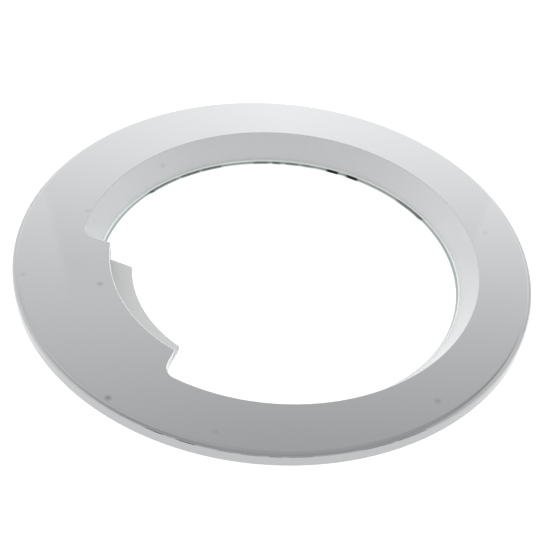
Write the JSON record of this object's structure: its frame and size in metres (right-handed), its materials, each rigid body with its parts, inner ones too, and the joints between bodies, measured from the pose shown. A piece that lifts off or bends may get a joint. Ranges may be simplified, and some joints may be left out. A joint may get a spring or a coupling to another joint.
{
  "type": "washing machine door frame",
  "caption": "Round outer frame of a front-loading washing machine door, with a bevelled off-centre opening, a moulded finger grip and a bright inner trim ring.",
  "frame": {"origin": "centre of the frame's outer circle, in the plane that the part lies on", "axes": "+Z out of the visible face, grip at -X, opening's axis a little way towards +X"},
  "size_m": [0.4799, 0.48, 0.027],
  "materials": {
    "silver_paint": "moulded ABS with a smooth silver metallic paint",
    "bright_trim": "moulded ABS with a bright plated finish"
  },
  "bodies": {
    "root": {"door_frame": "silver_paint", "trim_ring": "bright_trim"}
  },
  "joints": []
}
